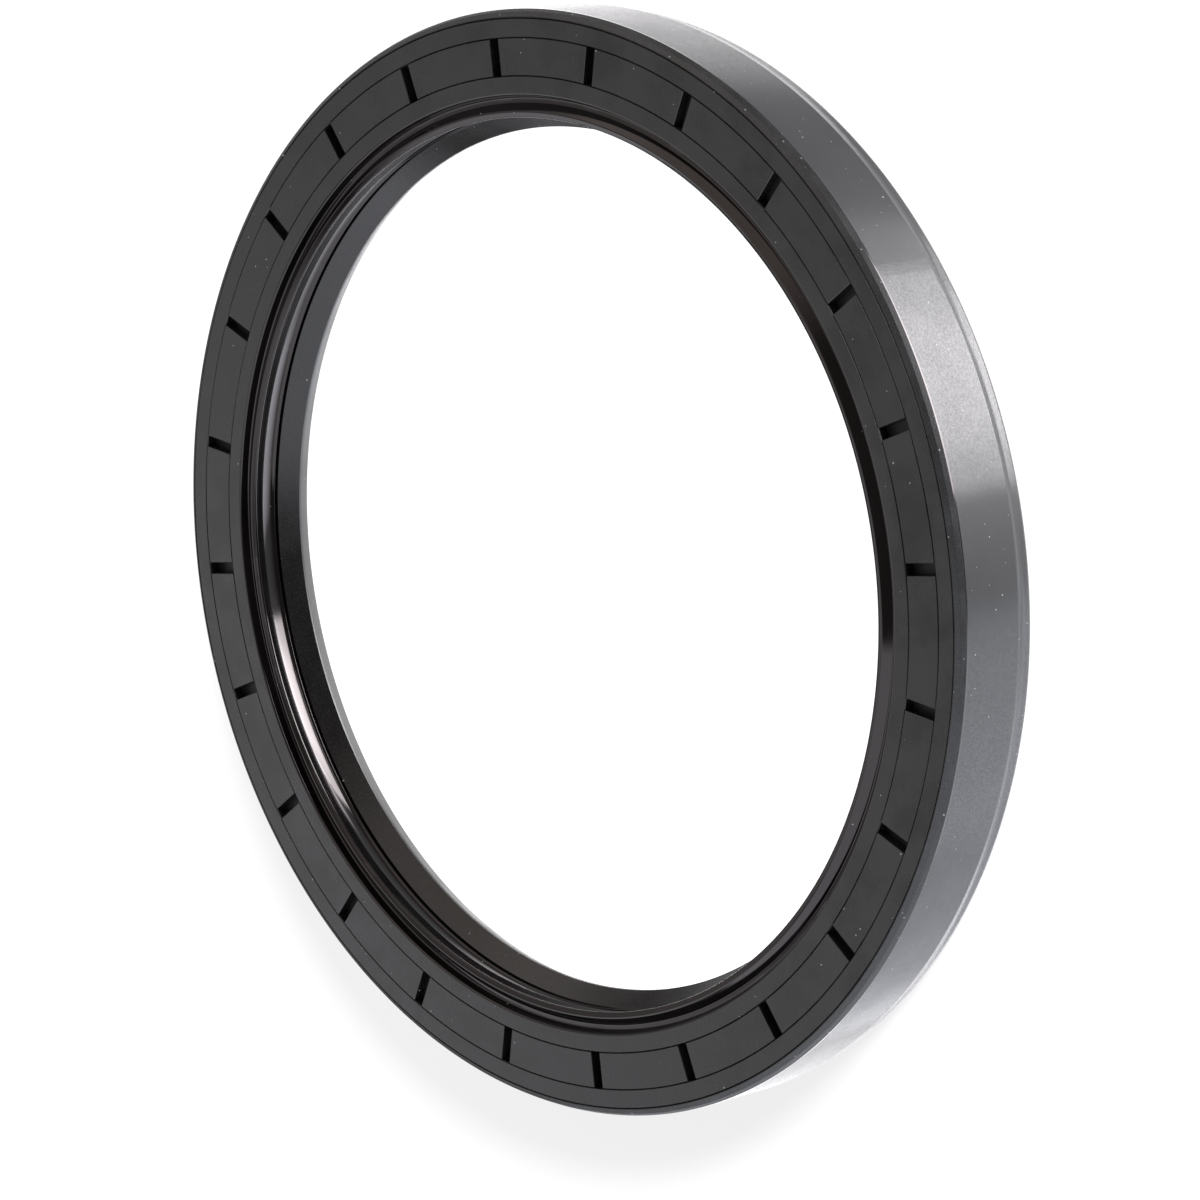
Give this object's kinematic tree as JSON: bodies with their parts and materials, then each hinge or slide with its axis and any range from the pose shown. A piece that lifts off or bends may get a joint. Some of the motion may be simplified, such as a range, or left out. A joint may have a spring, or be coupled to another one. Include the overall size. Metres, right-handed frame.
{
  "type": "radial shaft seal",
  "caption": "Ring seal for a rotating shaft: rubber over a steel case, a spring-loaded sealing lip, a dust lip and radial notches in its air-side face.",
  "frame": {"origin": "on the shaft axis, in the plane of the oil-side rim that the seal lies on", "axes": "+Z along the shaft axis from the oil side to the notched air side, +Y through one of the notches"},
  "size_m": [0.16, 0.16, 0.015],
  "materials": {
    "nitrile_rubber": "matte moulded rubber, satin on the ground outside diameter",
    "case_steel": "dark bonding coat on pressed steel sheet",
    "spring_wire": "drawn spring wire, lightly oiled"
  },
  "bodies": {
    "root": {"rubber_body": "nitrile_rubber", "steel_case": "case_steel", "garter_spring": "spring_wire"}
  },
  "joints": []
}
